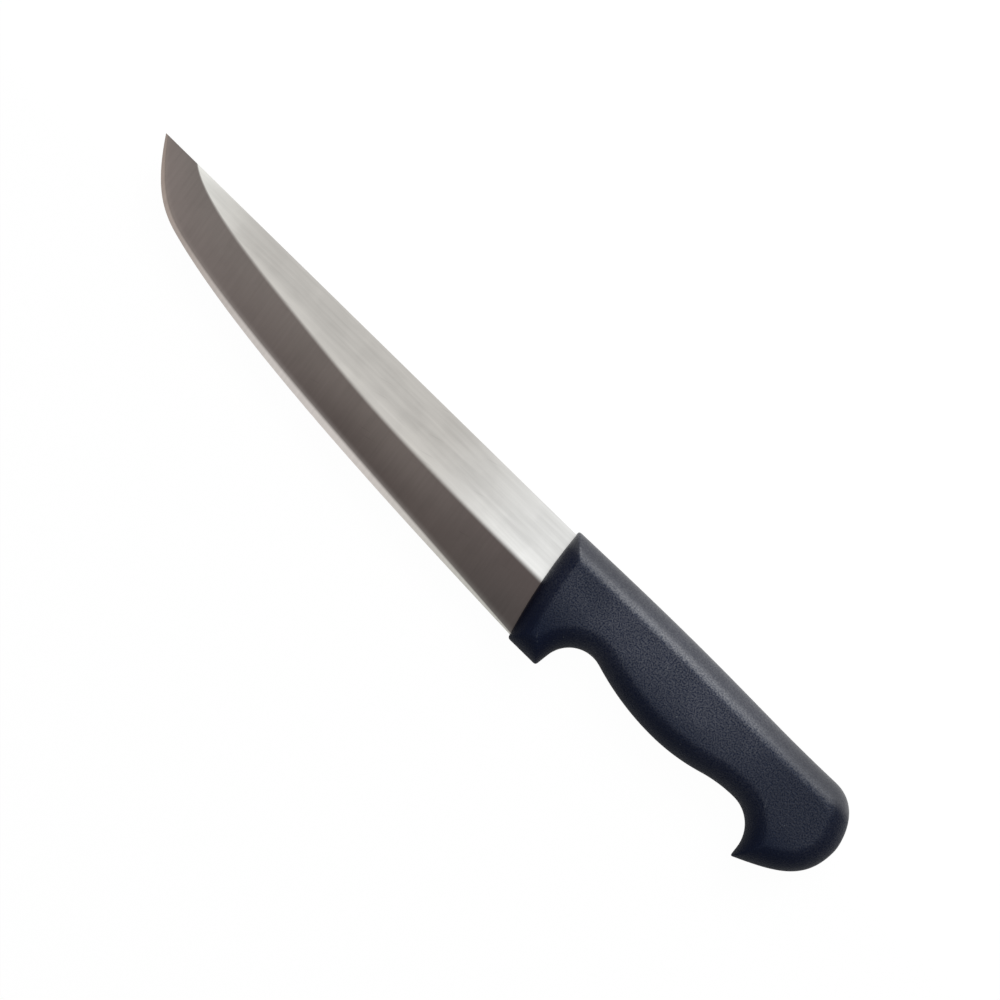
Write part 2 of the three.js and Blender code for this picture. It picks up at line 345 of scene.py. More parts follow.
@dataclass(frozen=True)
class Datum:
    """The drawing's zero and the knife's main sizes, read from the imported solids."""

    zero: Vector
    blade_length: float
    stock: float
    heel_depth: float
    handle_length: float
    handle_thickness: float
    sole_depth: float
    front_lean: float = 7.8 * MM

    @classmethod
    def from_frame(cls) -> "Datum":
        """Reads the sizes from the two solids of the frame.

        Returns:
            The datum that both pieces are drawn from.
        """
        steel_low, steel_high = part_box("blade")
        grip_low, grip_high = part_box("handle")
        zero = Vector((grip_low.x, steel_high.y, (steel_low.z + steel_high.z) / 2))
        return cls(
            zero=zero,
            blade_length=zero.x - steel_low.x,
            stock=steel_high.z - steel_low.z,
            heel_depth=zero.y - steel_low.y,
            handle_length=grip_high.x - grip_low.x,
            handle_thickness=grip_high.z - grip_low.z,
            sole_depth=zero.y - grip_low.y,
        )

    def lean_at(self, depth: float) -> float:
        """How far the handle's front has run back at a depth below the spine."""
        return self.front_lean * depth / self.sole_depth

    def below(self, depth: float) -> float:
        """The height on the Y axis at a depth below the spine."""
        return self.zero.y - depth

    def settle(self, piece: Piece) -> None:
        """Moves a finished mesh from the drawing to its place in the frame.

        Args:
            piece: The mesh's object.
        """
        with editing(piece):
            bpy.ops.mesh.select_all(action="SELECT")
            bpy.ops.transform.translate(value=self.zero)


class Graph:
    """Lays out the nodes of one material, world or node group."""

    def __init__(self, tree: bpy.types.NodeTree) -> None:
        """Starts from an empty tree."""
        self.tree = tree
        tree.nodes.clear()

    def node(self, kind: str, **settings: object) -> bpy.types.Node:
        """Adds a node.

        Args:
            kind: The node's type.
            settings: The node's own values by name.

        Returns:
            The new node.
        """
        node = self.tree.nodes.new(kind)
        for name, value in settings.items():
            setattr(node, name, value)
        return node

    def feed(self, socket: Socket, value: Feed) -> None:
        """Sets an input, or links another node's output to it.

        Args:
            socket: The input.
            value: A number, a colour or an output.
        """
        if isinstance(value, bpy.types.NodeSocket):
            self.tree.links.new(value, socket)
        elif socket.type == "RGBA":
            socket.default_value = (*value, 1.0)
        else:
            socket.default_value = value

    def fill(self, node: bpy.types.Node, values: dict[str, Feed]) -> None:
        """Feeds a node's inputs by their names."""
        for name, value in values.items():
            self.feed(node.inputs[name], value)

    def math(self, operation: str, first: Feed, second: Feed = 0.0) -> Socket:
        """One step of arithmetic.

        Args:
            operation: The node's operation.
            first: The first number.
            second: The second number.

        Returns:
            The result.
        """
        node = self.node("ShaderNodeMath", operation=operation)
        self.feed(node.inputs[0], first)
        self.feed(node.inputs[1], second)
        return node.outputs[0]

    def chain(self, operation: str, numbers: Sequence[Feed]) -> Socket:
        """The same step of arithmetic from number to number.

        Args:
            operation: The node's operation.
            numbers: Two numbers or more.

        Returns:
            The result.
        """
        result = numbers[0]
        for number in numbers[1:]:
            result = self.math(operation, result, number)
        return result

    def plus(self, *numbers: Feed) -> Socket:
        """The sum of two numbers or more."""
        return self.chain("ADD", numbers)

    def times(self, *numbers: Feed) -> Socket:
        """The product of two numbers or more."""
        return self.chain("MULTIPLY", numbers)

    def most(self, *numbers: Feed) -> Socket:
        """The greatest of two numbers or more."""
        return self.chain("MAXIMUM", numbers)

    def ramp(self, value: Socket, low: Feed, high: Feed, to_low: float = 0.0, to_high: float = 1.0,
             step: Step = Step.SOFT) -> Socket:
        """A step from one number to another while a value goes from low to high.

        Args:
            value: The value.
            low: Where the step starts.
            high: Where it ends.
            to_low: The number below it.
            to_high: The number above it.
            step: How the number goes between them.

        Returns:
            The number.
        """
        node = self.node("ShaderNodeMapRange", interpolation_type=step.value)
        self.fill(node, {"Value": value, "From Min": low, "From Max": high,
                         "To Min": to_low, "To Max": to_high})
        return node.outputs["Result"]

    def blend(self, share: Feed, first: Feed, second: Feed) -> Socket:
        """A blend of two numbers.

        Args:
            share: The second number's share.
            first: The first number.
            second: The second number.

        Returns:
            The blended number.
        """
        node = self.node("ShaderNodeMix", data_type="FLOAT")
        # This node has inputs for every kind of value: 2 and 3 take numbers
        for index, value in ((0, share), (2, first), (3, second)):
            self.feed(node.inputs[index], value)
        return node.outputs[0]

    def mix(self, share: Feed, first: Feed, second: Feed) -> Socket:
        """A blend of two colours.

        Args:
            share: The second colour's share.
            first: The first colour.
            second: The second colour.

        Returns:
            The blended colour.
        """
        node = self.node("ShaderNodeMix", data_type="RGBA")
        # 6 and 7 take colours
        for index, value in ((0, share), (6, first), (7, second)):
            self.feed(node.inputs[index], value)
        return node.outputs[2]

    def shade(self, colour: Feed, value: Socket) -> Socket:
        """A colour made lighter or darker.

        Args:
            colour: The colour.
            value: The factor.

        Returns:
            The new colour.
        """
        node = self.node("ShaderNodeHueSaturation")
        self.fill(node, {"Color": colour, "Value": value})
        return node.outputs["Color"]

    def place(self) -> Socket:
        """The place on the piece, in metres."""
        return self.node("ShaderNodeTexCoord").outputs["Object"]

    def axis(self, name: str) -> Socket:
        """One coordinate of the place on the piece.

        Args:
            name: X, Y or Z.

        Returns:
            The coordinate, in metres.
        """
        node = self.node("ShaderNodeSeparateXYZ")
        self.feed(node.inputs[0], self.place())
        return node.outputs[name]

    def stretched(self, size: Size, turn: Feed = 0.0) -> Socket:
        """The place on the piece, counted in marks of a given size.

        Args:
            size: The marks' length, width and height.
            turn: How far the marks' length is turned from the knife's length.

        Returns:
            The place for a texture.
        """
        turns = self.node("ShaderNodeCombineXYZ")
        self.feed(turns.inputs["Z"], turn)
        sizes = self.node("ShaderNodeCombineXYZ")
        for socket, length in zip(sizes.inputs, size):
            self.feed(socket, length)
        mapping = self.node("ShaderNodeMapping", vector_type="TEXTURE")
        self.fill(mapping, {"Vector": self.place(), "Rotation": turns.outputs[0], "Scale": sizes.outputs[0]})
        return mapping.outputs[0]

    def noise(self, size: Size, turn: Feed = 0.0, detail: float = 2.0) -> Socket:
        """Soft noise with marks of a given size.

        Args:
            size: The marks' length, width and height.
            turn: How far the marks' length is turned from the knife's length.
            detail: How many finer layers it has.

        Returns:
            The noise, about its mean.
        """
        texture = self.node("ShaderNodeTexNoise")
        self.fill(texture, {"Vector": self.stretched(size, turn), "Scale": 1.0, "Detail": detail})
        return texture.outputs["Fac"]

    def bump(self, height: Socket, strength: float, distance: float) -> Socket:
        """The normal of a surface with a fine relief.

        Args:
            height: The relief's height from place to place.
            strength: How much of it shows.
            distance: How high the relief is where its height is one.

        Returns:
            The normal.
        """
        node = self.node("ShaderNodeBump")
        self.fill(node, {"Strength": strength, "Distance": distance, "Height": height})
        return node.outputs[0]

    def seen(self, mirrored: float) -> Socket:
        """How far a ray sees plain white: wholly, when it comes from the camera.

        Args:
            mirrored: How far a ray from a surface that mirrors the room sees it.

        Returns:
            The share.
        """
        paths = self.node("ShaderNodeLightPath").outputs
        return self.most(paths["Is Camera Ray"], paths["Is Transmission Ray"],
                         self.times(paths["Is Glossy Ray"], mirrored))

    def use(self, group: bpy.types.NodeTree, **values: float) -> Socket:
        """Places a node group with its own values.

        Args:
            group: The group.
            values: Its inputs by name.

        Returns:
            Its mask.
        """
        node = self.node("ShaderNodeGroup", node_tree=group)
        self.fill(node, values)
        return node.outputs["Mask"]


class Effects:
    """Node groups for the marks that both finishes show."""

    cloud_layers: float = 3.0
    cloud_low: float = 0.32
    cloud_high: float = 0.68
    mark_core: float = 0.05
    mark_rim: float = 0.2

    def __init__(self) -> None:
        """Builds the groups."""
        self.clouds = self.make_clouds()
        self.marks = self.make_marks()

    @staticmethod
    def start(name: str, inputs: Sequence[str]) -> tuple[Graph, dict[str, Socket]]:
        """Starts a group that puts out a mask.

        Args:
            name: The group's name.
            inputs: The names of its numbers.

        Returns:
            The group's graph and its numbers.
        """
        tree = bpy.data.node_groups.new(name, "ShaderNodeTree")
        for label in inputs:
            tree.interface.new_socket(label, in_out="INPUT", socket_type="NodeSocketFloat")
        tree.interface.new_socket("Mask", in_out="OUTPUT", socket_type="NodeSocketFloat")
        graph = Graph(tree)
        entry = graph.node("NodeGroupInput")
        return graph, {label: entry.outputs[label] for label in inputs}

    @staticmethod
    def end(graph: Graph, mask: Socket) -> bpy.types.NodeTree:
        """Closes a group with its mask."""
        graph.feed(graph.node("NodeGroupOutput").inputs["Mask"], mask)
        return graph.tree

    def make_clouds(self) -> bpy.types.NodeTree:
        """Broad soft patches of a given size.

        Returns:
            The group.
        """
        graph, given = self.start("tone_clouds", ("Size",))
        noise = graph.noise((given["Size"],) * 3, detail=self.cloud_layers)
        return self.end(graph, graph.ramp(noise, self.cloud_low, self.cloud_high))

    def make_marks(self) -> bpy.types.NodeTree:
        """Sparse thin marks that run one way: hair scratches, or specks when as wide as long.

        Returns:
            The group.
        """
        graph, given = self.start("sparse_marks", ("Length", "Width", "Turn", "Rarity"))
        cells = graph.node("ShaderNodeTexVoronoi")
        size = (given["Length"], given["Width"], given["Width"])
        graph.fill(cells, {"Vector": graph.stretched(size, given["Turn"]), "Scale": 1.0})
        mark = graph.ramp(cells.outputs["Distance"], self.mark_core, self.mark_rim, 1.0, 0.0)
        lot = graph.node("ShaderNodeSeparateColor")
        graph.feed(lot.inputs[0], cells.outputs["Color"])
        kept = graph.math("GREATER_THAN", lot.outputs[0], given["Rarity"])
        return self.end(graph, graph.times(mark, kept))


def new_material(name: str) -> tuple[bpy.types.Material, Graph, bpy.types.Node]:
    """Starts a material with one shader.

    Args:
        name: The material's name.

    Returns:
        The material, its graph and its Principled shader.
    """
    material = bpy.data.materials.new(name)
    material.use_nodes = True
    graph = Graph(material.node_tree)
    shader = graph.node("ShaderNodeBsdfPrincipled")
    output = graph.node("ShaderNodeOutputMaterial")
    graph.feed(output.inputs["Surface"], shader.outputs[0])
    return material, graph, shader


@dataclass(frozen=True)
class Tones:
    """A steel surface's colour at the tip, in the middle and at the handle, with the brightness of its
    reflections painted in, and how they run together.
    """

    tip: Colour
    middle: Colour
    heel: Colour
    tip_end: float = 0.4
    heel_start: float = 0.62
    step: Step = Step.SOFT


@dataclass(frozen=True)
class Marks:
    """The size, the turn and the rarity of one kind of sparse mark."""

    length: float
    width: float
    turn: float
    rarity: float

    def mask(self, graph: Graph, effects: Effects) -> Socket:
        """Where the marks lie."""
        return graph.use(effects.marks, Length=self.length, Width=self.width,
                         Turn=math.radians(self.turn), Rarity=self.rarity)


@dataclass(frozen=True)
class SteelFinish:
    """Stainless steel: satin flats, darker ground bevels and a bright sharpened edge, with painted reflection
    in their colours and a painted highlight beside the grind line and along the spine.
    """

    # Painted reflection: the flats are lighter and the bevels darker than their finishes alone make them, and
    # the honed edge is lighter. Each is lighter or darker from the tip to the handle as its reflections fall.
    flat: Tones = Tones(screen(241, 241, 236), screen(194, 191, 186), screen(227, 227, 225), 0.27, 0.68)
    bevel_high: Tones = Tones(screen(124, 117, 113), screen(109, 101, 97), screen(90, 82, 80),
                              0.56, 0.6, Step.EVEN)
    bevel_low: Tones = Tones(screen(130, 121, 117), screen(87, 79, 76), screen(79, 73, 71),
                             0.56, 0.78, Step.EVEN)
    edge: Tones = Tones(screen(180, 165, 156), screen(229, 222, 217), screen(208, 206, 199))
    flat_roughness: float = 0.34
    bevel_roughness: float = 0.28
    edge_roughness: float = 0.38
    grind_softness: float = 0.06
    shoulder_within: float = 0.42
    shoulder_beyond: float = 0.12
    # Painted highlight: the flats are lighter beside the grind line and along the spine.
    sheen_level: float = 0.17
    grind_highlight_reach: float = 0.4
    grind_highlight_start: float = 0.5
    spine_highlight: float = 0.07
    spine_highlight_reach: float = 0.1
    cloud_size: float = 12.0 * MM
    cloud_tone: float = 0.035
    cloud_roughness: float = 0.04
    brush_size: Size = (24.0 * MM, 1.3 * MM, 1.3 * MM)
    brush_depth: float = 0.3
    brush_bump: float = 0.1
    brush_relief: float = 0.01 * MM
    grind_size: Size = (1.0 * MM, 16.0 * MM, 16.0 * MM)
    grind_turn: float = 8.0
    grind_depth: float = 0.18
    scratches: Marks = Marks(22.0 * MM, 0.9 * MM, 14.0, 0.8)
    scratch_depth: float = 0.1

    def material(self, datum: Datum, effects: Effects) -> bpy.types.Material:
        """Builds the finish.

        Args:
            datum: The knife's place and sizes.
            effects: The shared marks.

        Returns:
            The material.
        """
        material, graph, shader = new_material("blade_steel")
        along = graph.axis("X")
        tip = datum.zero.x - datum.blade_length
        zone = graph.node("ShaderNodeAttribute", attribute_name="zone").outputs["Fac"]

        def lengthwise(tones: Tones) -> Socket:
            """A surface's colour from the tip to the handle, with its painted reflection.

            Args:
                tones: The surface's tones.

            Returns:
                The colour.
            """
            fore = graph.ramp(along, tip, tip + tones.tip_end * datum.blade_length, step=tones.step)
            aft = graph.ramp(along, tip + tones.heel_start * datum.blade_length, datum.zero.x)
            return graph.mix(aft, graph.mix(fore, tones.tip, tones.middle), tones.heel)

        shoulder, grind, spine = Zone.SHOULDER.value, Zone.GRIND.value, Zone.SPINE.value
        on_flat = graph.ramp(zone, grind - self.grind_softness, grind + self.grind_softness)
        on_edge = graph.ramp(zone, shoulder - self.shoulder_within, shoulder + self.shoulder_beyond, 1.0, 0.0)
        bevel = graph.mix(graph.ramp(zone, shoulder, grind),
                          lengthwise(self.bevel_low), lengthwise(self.bevel_high))
        steel = graph.mix(on_flat, bevel, lengthwise(self.flat))
        steel = graph.mix(on_edge, steel, lengthwise(self.edge))
        clouds = graph.use(effects.clouds, Size=self.cloud_size)
        grinding = graph.noise(self.grind_size, turn=math.radians(self.grind_turn))
        marks = graph.blend(on_flat, grinding, graph.noise(self.brush_size))
        depth = graph.ramp(on_flat, 0.0, 1.0, self.grind_depth, self.brush_depth)
        off_tip = graph.ramp(along, tip, tip + self.grind_highlight_start * datum.blade_length)
        painted_grind_highlight = graph.ramp(zone, grind, grind + self.grind_highlight_reach, self.sheen_level, 0.0)
        # Besides the random clouds, the brush and grinding marks and the scratches, the tone carries two
        # painted highlights: one beside the grind line, growing from the tip, and one along the spine.
        tone = graph.plus(
            graph.ramp(clouds, 0.0, 1.0, 1 - self.cloud_tone, 1 + self.cloud_tone),
            graph.times(off_tip, on_flat, painted_grind_highlight),
            graph.ramp(zone, spine - self.spine_highlight_reach, spine, 0.0, self.spine_highlight),
            graph.times(graph.math("SUBTRACT", marks, NOISE_MEAN), depth),
            graph.times(self.scratches.mask(graph, effects), -self.scratch_depth),
        )
        roughness = graph.plus(
            self.bevel_roughness,
            graph.times(on_flat, self.flat_roughness - self.bevel_roughness),
            graph.times(on_edge, self.edge_roughness - self.bevel_roughness),
            graph.times(clouds, self.cloud_roughness),
        )
        graph.fill(shader, {
            "Base Color": graph.shade(steel, tone),
            "Metallic": 1.0,
            "Roughness": roughness,
            "Normal": graph.bump(marks, self.brush_bump, self.brush_relief),
        })
        return material


@dataclass(frozen=True)
class PlasticFinish:
    """Black plastic with the grit of a spark-eroded mould, worn where the hand holds it with a painted sheen
    there, and a few marks.
    """

    colour: Colour = (0.0014, 0.0026, 0.0140)
    # Lighter where worn, partly wear and partly painted sheen.
    wear_and_sheen_colour: Colour = (0.0056, 0.0085, 0.0280)
    scratched: Colour = (0.10, 0.11, 0.12)
    sheen: Colour = (0.52, 0.68, 1.0)
    gloss: float = 0.26
    coat_ior: float = 2.2
    glint: float = 0.105
    glint_peak: float = 2.0
    glint_deep: float = 0.2
    glint_low: float = 31.0 * MM
    glint_high: float = 19.0 * MM
    sheen_level: float = 0.26
    roughness: float = 0.38
    grit_size: float = 0.54 * MM
    grit_layers: float = 1.0
    grit_depth: float = 0.24 * MM
    grit_spread: float = 0.24
    grit_worn: float = 0.75
    # The wear_ values shape the worn zone, whose lighter colour is partly wear and partly painted sheen.
    wear_front: float = 0.5
    wear_start: float = 18.0 * MM
    wear_full: float = 44.0 * MM
    wear_fade: float = 76.0 * MM
    wear_end: float = 122.0 * MM
    wear_slant: float = 0.6
    wear_low: float = 26.0 * MM
    wear_high: float = 12.0 * MM
    rub: float = 0.62
    rub_low: float = 5.7 * MM
    rub_high: float = 2.0 * MM
    cloud_size: float = 9.0 * MM
    cloud_wear: float = 0.7
    cloud_roughness: float = 0.05
    scratches: Marks = Marks(18.0 * MM, 0.9 * MM, -58.0, 0.9)
    scratch_share: float = 0.5
    specks: Marks = Marks(1.8 * MM, 1.8 * MM, 0.0, 0.985)

    def material(self, datum: Datum, effects: Effects) -> bpy.types.Material:
        """Builds the finish.

        Args:
            datum: The knife's place and sizes.
            effects: The shared marks.

        Returns:
            The material.
        """
        material, graph, shader = new_material("handle_plastic")
        depth = graph.axis("Y")
        along = graph.plus(graph.axis("X"), graph.times(depth, -self.wear_slant))
        front = datum.zero.x - datum.zero.y * self.wear_slant
        clouds = graph.use(effects.clouds, Size=self.cloud_size)
        # The worn zone runs from the front to the middle of the length and towards the spine. Its lighter
        # colour is partly wear and partly painted sheen, and it also sets the coat and the grit.
        wear_and_sheen = graph.times(
            graph.ramp(along, front + self.wear_start, front + self.wear_full, self.wear_front),
            graph.ramp(along, front + self.wear_fade, front + self.wear_end, 1.0, 0.0),
            graph.ramp(clouds, 0.0, 1.0, self.cloud_wear, 1.0),
            graph.ramp(depth, datum.below(self.wear_low), datum.below(self.wear_high)),
        )
        grit = graph.noise((self.grit_size,) * 3, detail=self.grit_layers)
        marks = graph.most(graph.times(self.scratches.mask(graph, effects), self.scratch_share),
                           self.specks.mask(graph, effects))
        pit, peak = NOISE_MEAN - self.grit_spread, NOISE_MEAN + self.grit_spread
        glints = graph.times(
            graph.ramp(wear_and_sheen, 0.0, 1.0, self.glint, self.sheen_level),
            graph.ramp(grit, pit, peak, 0.0, self.glint_peak),
            graph.ramp(depth, datum.below(self.glint_low), datum.below(self.glint_high), self.glint_deep),
        )
        rubbed = graph.ramp(depth, datum.below(self.rub_low), datum.below(self.rub_high), 0.0, self.rub)
        relief = graph.times(grit, graph.ramp(wear_and_sheen, 0.0, 1.0, 1.0, self.grit_worn))
        graph.fill(shader, {
            "Base Color": graph.mix(marks, graph.mix(wear_and_sheen, self.colour, self.wear_and_sheen_colour), self.scratched),
            "Roughness": graph.ramp(clouds, 0.0, 1.0, self.roughness, self.roughness + self.cloud_roughness),
            "Specular IOR Level": self.gloss,
            "Specular Tint": self.sheen,
            "Coat Weight": graph.plus(rubbed, glints),
            "Coat Roughness": self.roughness,
            "Coat IOR": self.coat_ior,
            "Normal": graph.bump(relief, 1.0, self.grit_depth),
        })
        return material


@dataclass(frozen=True)
class TableFinish:
    """A white table top that keeps a faint shadow, with painted shade that makes its colour darker on the
    grip's side.
    """

    lit: Colour = (0.9, 0.9, 0.9)
    shaded: Colour = (0.5, 0.5, 0.5)
    lit_from: float = -10.0 * MM
    lit_to: float = 30.0 * MM
    roughness: float = 0.9
    shadow_share: float = 0.07
    mirror_share: float = 0.06
    glow: float = 1.05

    def material(self) -> bpy.types.Material:
        """Builds the finish.

        Returns:
            The material.
        """
        material, graph, shader = new_material("white_table")
        # Painted shade: the table's colour goes from light on the spine's side to darker on the grip's side.
        lit = graph.ramp(graph.axis("Y"), self.lit_from, self.lit_to)
        graph.fill(shader, {
            "Base Color": graph.mix(lit, self.shaded, self.lit),
            "Roughness": self.roughness,
            "Specular IOR Level": 0.0,
        })
        white = graph.node("ShaderNodeEmission")
        graph.fill(white, {"Color": WHITE, "Strength": self.glow})
        blend = graph.node("ShaderNodeMixShader")
        share = graph.times(graph.seen(self.mirror_share), 1 - self.shadow_share)
        for socket, value in zip(blend.inputs, (share, shader.outputs[0], white.outputs[0])):
            graph.feed(socket, value)
        output = next(node for node in graph.tree.nodes if node.type == "OUTPUT_MATERIAL")
        graph.feed(output.inputs["Surface"], blend.outputs[0])
        return material


def place_in_frame(piece: Piece, material: bpy.types.Material, node: str) -> None:
    """Gives a piece its material and its place in the frame.

    Args:
        piece: The finished piece.
        material: Its material.
        node: The solid that it stands for.
    """
    piece.data.materials.clear()
    piece.data.materials.append(material)
    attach(piece, "root")
    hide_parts(node)
    log.info("%s: %d faces, for %s", piece.name, len(piece.data.polygons), node)


@dataclass
class Blade:
    """The steel: one sheet, ground from both sides to a thin edge, with a tang inside the handle."""

    datum: Datum
    tip_angle: float = 57.0
    tip_pull: float = 15.7 * MM
    belly_from_tip: float = 25.0 * MM
    belly_depth: float = 21.4 * MM
    belly_angle: float = 16.0
    belly_pull_forward: float = 10.0 * MM
    belly_pull_back: float = 40.0 * MM
    heel_drop: float = 0.4 * MM
    heel_angle: float = 2.6
    heel_pull: float = 60.0 * MM
    runout_from_tip: float = 14.7 * MM
    runout_angle: float = 38.0
    runout_pull: float = 13.0 * MM
    sweep_from_tip: float = 79.0 * MM
    sweep_depth: float = 13.85 * MM
    sweep_angle: float = 6.8
    sweep_pull_forward: float = 24.0 * MM
    sweep_pull_back: float = 38.0 * MM
    flat_depth: float = 19.0 * MM
    flat_pull: float = 62.0 * MM
    runout_step: float = 0.4 * MM
    hone_slope: float = 0.114
    bevel_tip: float = 1.2 * MM
    bevel_middle: float = 3.1 * MM
    bevel_heel: float = 0.6 * MM
    edge_land: float = 0.12 * MM
    heel_inset: float = 5.0 * MM
    tang_step: float = 4.0 * MM
    tang_foot: float = 18.1 * MM
    tang_length: float = 102.0 * MM
    tang_taper: float = 1.5 * MM
    tang_corner: float = 2.5 * MM
    tang_corner_steps: int = 6
    tang_relief: float = 0.04 * MM
    hole_diameter: float = 6.0 * MM
    hole_sides: int = 32
    hole_places: tuple[float, ...] = (26.0 * MM, 58.0 * MM, 90.0 * MM)
    stations: int = 180
    hidden_share: float = 0.8
    crease: float = 1.2

    def end_at(self, depth: float) -> Vector:
        """The hidden end of the full blade at a depth below the spine."""
        return Vector((self.heel_inset + self.datum.lean_at(depth), -depth))

    def edge_line(self) -> list[Vector]:
        """The cutting edge in the drawing plane.

        Returns:
            Its points, station by station from the tip to the hidden end.
        """
        tip = Vector((-self.datum.blade_length, 0.0))
        belly = Vector((tip.x + self.belly_from_tip, -self.belly_depth))
        depth = self.datum.heel_depth + self.heel_drop
        heel = Vector((self.datum.front_lean, -depth))
        rise = fair_curve(tip, self.tip_angle, self.tip_pull,
                          belly, self.belly_angle, self.belly_pull_forward)
        run = fair_curve(belly, self.belly_angle, self.belly_pull_back,
                         heel, self.heel_angle, self.heel_pull)
        return [*evenly([*rise, *run[1:]], self.stations), self.end_at(depth)]

    def grind_line(self) -> list[Vector]:
        """The line where the grind meets the flat.

        Returns:
            Its points, station by station from its run-out at the spine to the hidden end.
        """
        runout = Vector((self.runout_from_tip - self.datum.blade_length, 0.0))
        sweep = Vector((self.sweep_from_tip - self.datum.blade_length, -self.sweep_depth))
        end = Vector((self.datum.front_lean, -self.flat_depth))
        fall = fair_curve(runout, self.runout_angle, self.runout_pull,
                          sweep, self.sweep_angle, self.sweep_pull_forward)
        run = fair_curve(sweep, self.sweep_angle, self.sweep_pull_back, end, 0.0, self.flat_pull)
        return [*evenly([*fall, *run[1:]], self.stations), self.end_at(self.flat_depth)]

    def spine_line(self) -> list[Vector]:
        """The spine behind the grind line's run-out.

        Returns:
            Its points, station by station to the hidden end.
        """
        first = Vector((self.runout_from_tip + self.runout_step - self.datum.blade_length, 0.0))
        last = Vector((self.hidden_share * self.heel_inset, 0.0))
        return [*evenly([first, last], self.stations), self.end_at(0.0)]

    def bevel_width(self, share: float) -> float:
        """The sharpening bevel's width at one station.

        Args:
            share: The share of the way from the tip to the handle.

        Returns:
            The width, on a smooth curve through the three given ones.
        """
        at_tip = 2 * (share - 0.5) * (share - 1) * self.bevel_tip
        at_middle = 4 * share * (1 - share) * self.bevel_middle
        at_heel = 2 * share * (share - 0.5) * self.bevel_heel
        return at_tip + at_middle + at_heel

    def upper_lines(self, room: float) -> list[tuple[Zone, list[Vector]]]:
        """The blade's lines on its upper side, from the spine to the edge.

        Args:
            room: How much larger than the blade the lines are drawn, for the handle's cavity.

        Returns:
            Each line with its zone.
        """
        half = self.datum.stock / 2 + room
        zones = (Zone.SPINE, Zone.GRIND, Zone.SHOULDER, Zone.EDGE)
        lines: list[tuple[Zone, list[Vector]]] = [(zone, []) for zone in zones]
        stations = zip(self.edge_line(), self.grind_line(), self.spine_line())
        for station, (edge, grind, spine) in enumerate(stations):
            share = min(1.0, station / self.stations)
            width = self.bevel_width(share)
            across = width / (grind - edge).length
            shoulder = edge.lerp(grind, across)
            edge_height = self.edge_land / 2 + self.hone_slope * width + room
            shoulder_height = edge_height + across * (half - edge_height)
            back = room if station > self.stations else 0.0
            places = (
                (spine.x, room, half),
                (grind.x, grind.y, half),
                (shoulder.x, shoulder.y, shoulder_height),
                (edge.x, edge.y - room, self.edge_land / 2 + room),
            )
            for (_, line), (x, y, z) in zip(lines, places):
                line.append(Vector((x + back, y, z)))
        return lines

    def tang(self, room: float) -> Piece:
        """The tang: a plate with a tapered, rounded end and holes for the handle's posts.

        Args:
            room: How much larger than the real steel it is made, for the handle's cavity.

        Returns:
            The plate, about the drawing's zero.
        """
        start = self.hidden_share * self.heel_inset
        end = self.tang_length + room
        middle = -(self.tang_step + self.tang_foot) / 2
        depth = self.tang_foot - self.tang_step + 2 * room
        thickness = self.datum.stock + 2 * room - self.tang_relief
        bpy.ops.object.select_all(action="DESELECT")
        bpy.ops.mesh.primitive_cube_add(
            size=1, location=((start + end) / 2, middle, 0), scale=(end - start, depth, thickness))
        plate = bpy.context.object
        bpy.ops.object.transform_apply(location=True, rotation=False, scale=True)
        with editing(plate):
            pick_verts(plate, lambda place: place.x > end - MM)
            bpy.ops.transform.resize(value=(1, 1 - 2 * self.tang_taper / depth, 1))
        with editing(plate, Element.EDGES):
            pick_edges(plate, lambda one, two: min(one.x, two.x) > end - MM and one.z * two.z < 0)
            bpy.ops.mesh.bevel(offset=self.tang_corner, segments=self.tang_corner_steps, affect="EDGES")
        for place in self.hole_places:
            bpy.ops.mesh.primitive_cylinder_add(
                vertices=self.hole_sides, radius=self.hole_diameter / 2 - room, depth=4 * thickness,
                location=(place, middle, 0))
            combine(plate, bpy.context.object, Cut.AWAY)
        heights = plate.data.attributes.new("zone", "FLOAT", "POINT")
        heights.data.foreach_set("value", [Zone.SPINE.value] * len(plate.data.vertices))
        return plate

    def body(self, name: str, room: float = 0.0) -> Piece:
        """The blade and its tang as one body.

        Args:
            name: The new object's name.
            room: How much larger than the real steel it is made, for the handle's cavity.

        Returns:
            The closed body, about the drawing's zero.
        """
        upper = self.upper_lines(room)
        lower = [(zone, [place * Vector((1, 1, -1)) for place in line]) for zone, line in reversed(upper)]
        zones, lines = zip(*upper, *lower)
        steel = loft(name, lines, zones)
        combine(steel, self.tang(room), Cut.JOIN)
        return steel

    def build(self) -> Piece:
        """Models the blade and sets it in its place.

        Returns:
            The finished blade.
        """
        steel = self.body("ground_blade")
        alone(steel)
        bpy.ops.object.shade_smooth_by_angle(angle=math.radians(self.crease))
        self.datum.settle(steel)
        return steel

    def dress(self, steel: Piece, effects: Effects) -> None:
        """Gives the blade its finish."""
        place_in_frame(steel, SteelFinish().material(self.datum, effects), "blade")


